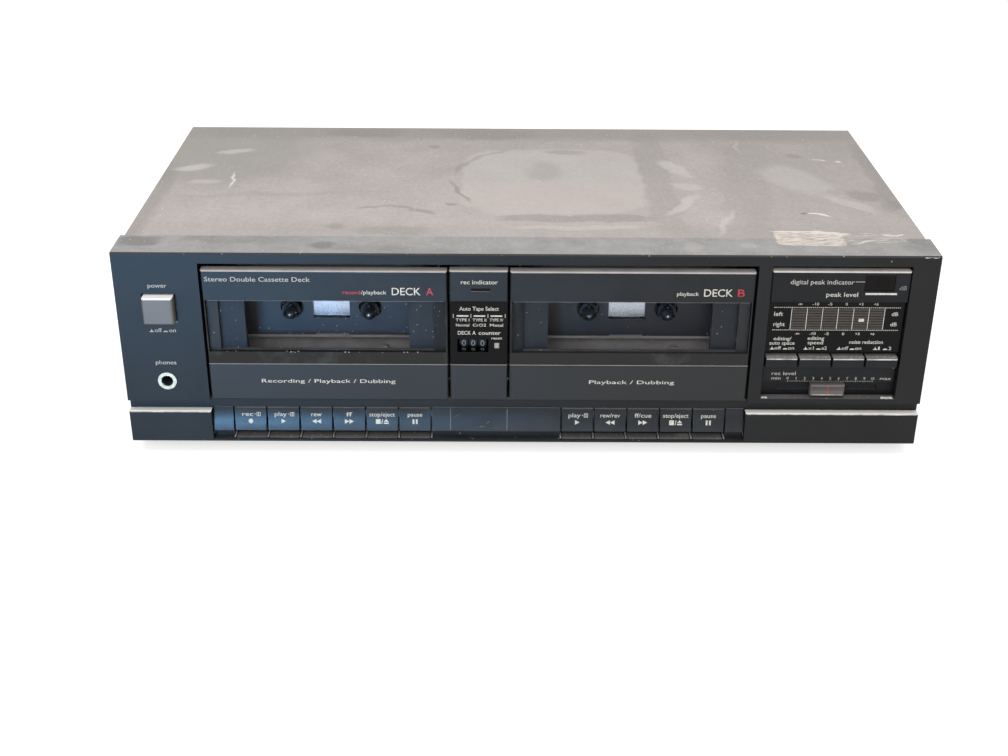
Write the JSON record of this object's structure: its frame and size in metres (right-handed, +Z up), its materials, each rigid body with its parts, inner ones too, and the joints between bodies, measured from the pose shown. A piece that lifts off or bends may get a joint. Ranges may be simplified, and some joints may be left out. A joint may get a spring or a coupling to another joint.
{
  "type": "double cassette deck",
  "caption": "Flat black hi-fi double cassette deck with clear-windowed doors, a tape counter, a level display with sliding record level, and rows of transport keys.",
  "frame": {"origin": "on the ground below the middle of the deck's box", "axes": "+X to the right along the front panel, +Y from the front to the back, +Z up"},
  "size_m": [0.43, 0.231, 0.1196],
  "materials": {
    "panel_plastic": "satin moulded",
    "cover_paint": "dusty satin paint",
    "zinc_steel": "zinc plated",
    "rear_paint": "satin paint",
    "foot_plastic": "matte",
    "key_plastic": "polished",
    "door_plastic": "fine grain",
    "clear_acrylic": "clear",
    "smoked_acrylic": "smoked",
    "transport_steel": "plated sheet",
    "well_plastic": "matte",
    "motor_steel": "plated can",
    "belt_rubber": "matte",
    "board_laminate": "paper laminate",
    "transformer_iron": "varnished laminations",
    "switch_plastic": "moulded",
    "jack_metal": "nickel plated",
    "socket_plastic": "moulded, with nickel plated shells",
    "inlet_plastic": "moulded",
    "screw_steel": "black oxide",
    "shaft_steel": "ground",
    "control_plastic": "fine grain",
    "power_plastic": "fine grain",
    "reset_plastic": "moulded",
    "number_plastic": "printed white numbers",
    "reel_plastic": "moulded",
    "flywheel_metal": "turned",
    "head_metal": "plated",
    "roller_rubber": "ground",
    "frame_plastic": "moulded"
  },
  "bodies": {
    "cabinet": {"front_panel": "panel_plastic", "top_cover": "cover_paint", "chassis_base": "zinc_steel", "rear_panel": "rear_paint", "feet": "foot_plastic", "key_blanks": "key_plastic", "centre_panel": "door_plastic", "control_bezel": "control_plastic", "smoked_windows": "smoked_acrylic", "transport_plates": "transport_steel", "well_covers": "well_plastic", "motors": "motor_steel", "belts": "belt_rubber", "main_board": "board_laminate", "front_board": "board_laminate", "transformer": "transformer_iron", "power_switch": "switch_plastic", "headphone_jack": "jack_metal", "line_jacks": "socket_plastic", "mains_inlet": "inlet_plastic", "screws": "screw_steel", "key_shaft": "shaft_steel", "counter_frame": "frame_plastic"},
    "deck_a_door": {"door_a": "door_plastic", "door_a_window": "clear_acrylic", "holder_a": "frame_plastic"},
    "deck_b_door": {"door_b": "door_plastic", "door_b_window": "clear_acrylic", "holder_b": "frame_plastic"},
    "power": {"power_button": "power_plastic"},
    "rec_key_a": {"key_a_rec": "key_plastic"},
    "play_key_a": {"key_a_play": "key_plastic"},
    "rewind_key_a": {"key_a_rewind": "key_plastic"},
    "forward_key_a": {"key_a_forward": "key_plastic"},
    "stop_key_a": {"key_a_stop": "key_plastic"},
    "pause_key_a": {"key_a_pause": "key_plastic"},
    "play_key_b": {"key_b_play": "key_plastic"},
    "rewind_key_b": {"key_b_rewind": "key_plastic"},
    "forward_key_b": {"key_b_forward": "key_plastic"},
    "stop_key_b": {"key_b_stop": "key_plastic"},
    "pause_key_b": {"key_b_pause": "key_plastic"},
    "editing_button": {"button_editing": "control_plastic"},
    "speed_button": {"button_speed": "control_plastic"},
    "noise_button": {"button_noise": "control_plastic"},
    "type_button": {"button_type": "control_plastic"},
    "level": {"level_knob": "control_plastic"},
    "reset": {"reset_button": "reset_plastic"},
    "supply_reel_a": {"reel_a_supply": "reel_plastic"},
    "takeup_reel_a": {"reel_a_takeup": "reel_plastic"},
    "supply_reel_b": {"reel_b_supply": "reel_plastic"},
    "takeup_reel_b": {"reel_b_takeup": "reel_plastic"},
    "units_wheel": {"counter_units": "number_plastic"},
    "tens_wheel": {"counter_tens": "number_plastic"},
    "hundreds_wheel": {"counter_hundreds": "number_plastic"},
    "capstan_a": {"flywheel_a": "flywheel_metal"},
    "heads_a": {"head_plate_a": "head_metal"},
    "pinch_a": {"pinch_roller_a": "roller_rubber"},
    "capstan_b": {"flywheel_b": "flywheel_metal"},
    "heads_b": {"head_plate_b": "head_metal"},
    "pinch_b": {"pinch_roller_b": "roller_rubber"}
  },
  "joints": [
    {"name": "door_a_hinge", "type": "hinge", "parent": "cabinet", "child": "deck_a_door", "pos_m": [-0.1053, -0.0985, 0.029], "axis": [1, 0, 0], "range_deg": [0, 25]},
    {"name": "door_b_hinge", "type": "hinge", "parent": "cabinet", "child": "deck_b_door", "pos_m": [0.0557, -0.0985, 0.029], "axis": [1, 0, 0], "range_deg": [0, 25]},
    {"name": "power_press", "type": "slide", "parent": "cabinet", "child": "power", "axis": [0, 1, 0], "range_m": [0, 0.0035], "stiffness_N_per_m": 350, "springref_m": -0.005},
    {"name": "key_a_rec_press", "type": "hinge", "parent": "cabinet", "child": "rec_key_a", "pos_m": [-0.1498, -0.0605, 0.022], "axis": [1, 0, 0], "range_deg": [0, 4.2], "stiffness_Nm_per_rad": 0.6, "springref_deg": -8.59},
    {"name": "key_a_play_press", "type": "hinge", "parent": "cabinet", "child": "play_key_a", "pos_m": [-0.1318, -0.0605, 0.022], "axis": [1, 0, 0], "range_deg": [0, 4.2], "stiffness_Nm_per_rad": 0.6, "springref_deg": -8.59},
    {"name": "key_a_rewind_press", "type": "hinge", "parent": "cabinet", "child": "rewind_key_a", "pos_m": [-0.1138, -0.0605, 0.022], "axis": [1, 0, 0], "range_deg": [0, 4.2], "stiffness_Nm_per_rad": 0.6, "springref_deg": -8.59},
    {"name": "key_a_forward_press", "type": "hinge", "parent": "cabinet", "child": "forward_key_a", "pos_m": [-0.0958, -0.0605, 0.022], "axis": [1, 0, 0], "range_deg": [0, 4.2], "stiffness_Nm_per_rad": 0.6, "springref_deg": -8.59},
    {"name": "key_a_stop_press", "type": "hinge", "parent": "cabinet", "child": "stop_key_a", "pos_m": [-0.0778, -0.0605, 0.022], "axis": [1, 0, 0], "range_deg": [0, 4.2], "stiffness_Nm_per_rad": 0.6, "springref_deg": -8.59},
    {"name": "key_a_pause_press", "type": "hinge", "parent": "cabinet", "child": "pause_key_a", "pos_m": [-0.0598, -0.0605, 0.022], "axis": [1, 0, 0], "range_deg": [0, 4.2], "stiffness_Nm_per_rad": 0.6, "springref_deg": -8.59},
    {"name": "key_b_play_press", "type": "hinge", "parent": "cabinet", "child": "play_key_b", "pos_m": [0.0292, -0.0605, 0.022], "axis": [1, 0, 0], "range_deg": [0, 4.2], "stiffness_Nm_per_rad": 0.6, "springref_deg": -8.59},
    {"name": "key_b_rewind_press", "type": "hinge", "parent": "cabinet", "child": "rewind_key_b", "pos_m": [0.0472, -0.0605, 0.022], "axis": [1, 0, 0], "range_deg": [0, 4.2], "stiffness_Nm_per_rad": 0.6, "springref_deg": -8.59},
    {"name": "key_b_forward_press", "type": "hinge", "parent": "cabinet", "child": "forward_key_b", "pos_m": [0.0652, -0.0605, 0.022], "axis": [1, 0, 0], "range_deg": [0, 4.2], "stiffness_Nm_per_rad": 0.6, "springref_deg": -8.59},
    {"name": "key_b_stop_press", "type": "hinge", "parent": "cabinet", "child": "stop_key_b", "pos_m": [0.0832, -0.0605, 0.022], "axis": [1, 0, 0], "range_deg": [0, 4.2], "stiffness_Nm_per_rad": 0.6, "springref_deg": -8.59},
    {"name": "key_b_pause_press", "type": "hinge", "parent": "cabinet", "child": "pause_key_b", "pos_m": [0.1012, -0.0605, 0.022], "axis": [1, 0, 0], "range_deg": [0, 4.2], "stiffness_Nm_per_rad": 0.6, "springref_deg": -8.59},
    {"name": "editing_press", "type": "slide", "parent": "cabinet", "child": "editing_button", "axis": [0, 1, 0], "range_m": [0, 0.0025], "stiffness_N_per_m": 200, "springref_m": -0.005},
    {"name": "speed_press", "type": "slide", "parent": "cabinet", "child": "speed_button", "axis": [0, 1, 0], "range_m": [0, 0.0025], "stiffness_N_per_m": 200, "springref_m": -0.005},
    {"name": "noise_press", "type": "slide", "parent": "cabinet", "child": "noise_button", "axis": [0, 1, 0], "range_m": [0, 0.0025], "stiffness_N_per_m": 200, "springref_m": -0.005},
    {"name": "type_press", "type": "slide", "parent": "cabinet", "child": "type_button", "axis": [0, 1, 0], "range_m": [0, 0.0025], "stiffness_N_per_m": 200, "springref_m": -0.005},
    {"name": "level_slide", "type": "slide", "parent": "cabinet", "child": "level", "axis": [1, 0, 0], "range_m": [-0.02254, 0.02346]},
    {"name": "reset_press", "type": "slide", "parent": "cabinet", "child": "reset", "axis": [0, 1, 0], "range_m": [0, 0.0015], "stiffness_N_per_m": 80, "springref_m": -0.003},
    {"name": "reel_a_supply_spin", "type": "hinge", "parent": "cabinet", "child": "supply_reel_a", "pos_m": [-0.12655, -0.0855, 0.078], "axis": [0, 1, 0], "continuous": true},
    {"name": "reel_a_takeup_spin", "type": "hinge", "parent": "cabinet", "child": "takeup_reel_a", "pos_m": [-0.08405, -0.0855, 0.078], "axis": [0, 1, 0], "continuous": true},
    {"name": "reel_b_supply_spin", "type": "hinge", "parent": "cabinet", "child": "supply_reel_b", "pos_m": [0.03445, -0.0855, 0.078], "axis": [0, 1, 0], "continuous": true},
    {"name": "reel_b_takeup_spin", "type": "hinge", "parent": "cabinet", "child": "takeup_reel_b", "pos_m": [0.07695, -0.0855, 0.078], "axis": [0, 1, 0], "continuous": true},
    {"name": "counter_units_spin", "type": "hinge", "parent": "cabinet", "child": "units_wheel", "pos_m": [-0.02285, -0.0988, 0.067], "axis": [1, 0, 0], "continuous": true},
    {"name": "counter_tens_spin", "type": "hinge", "parent": "cabinet", "child": "tens_wheel", "pos_m": [-0.0278, -0.0988, 0.067], "axis": [1, 0, 0], "continuous": true},
    {"name": "counter_hundreds_spin", "type": "hinge", "parent": "cabinet", "child": "hundreds_wheel", "pos_m": [-0.03275, -0.0988, 0.067], "axis": [1, 0, 0], "continuous": true},
    {"name": "capstan_a_spin", "type": "hinge", "parent": "cabinet", "child": "capstan_a", "pos_m": [-0.0778, -0.0705, 0.0495], "axis": [0, 1, 0], "continuous": true},
    {"name": "heads_a_slide", "type": "slide", "parent": "cabinet", "child": "heads_a", "axis": [0, 0, 1], "range_m": [0, 0.005], "stiffness_N_per_m": 80, "springref_m": -0.006},
    {"name": "pinch_a_spin", "type": "hinge", "parent": "heads_a", "child": "pinch_a", "pos_m": [-0.0778, -0.0925, 0.03645], "axis": [0, 1, 0], "continuous": true},
    {"name": "capstan_b_spin", "type": "hinge", "parent": "cabinet", "child": "capstan_b", "pos_m": [0.0832, -0.0705, 0.0495], "axis": [0, 1, 0], "continuous": true},
    {"name": "heads_b_slide", "type": "slide", "parent": "cabinet", "child": "heads_b", "axis": [0, 0, 1], "range_m": [0, 0.005], "stiffness_N_per_m": 80, "springref_m": -0.006},
    {"name": "pinch_b_spin", "type": "hinge", "parent": "heads_b", "child": "pinch_b", "pos_m": [0.0832, -0.0925, 0.03645], "axis": [0, 1, 0], "continuous": true}
  ],
  "couplings": [
    {"joint": "counter_units_spin", "follows": "reel_a_takeup_spin", "ratio": -0.05},
    {"joint": "counter_tens_spin", "follows": "reel_a_takeup_spin", "ratio": -0.005},
    {"joint": "counter_hundreds_spin", "follows": "reel_a_takeup_spin", "ratio": -0.0005}
  ]
}
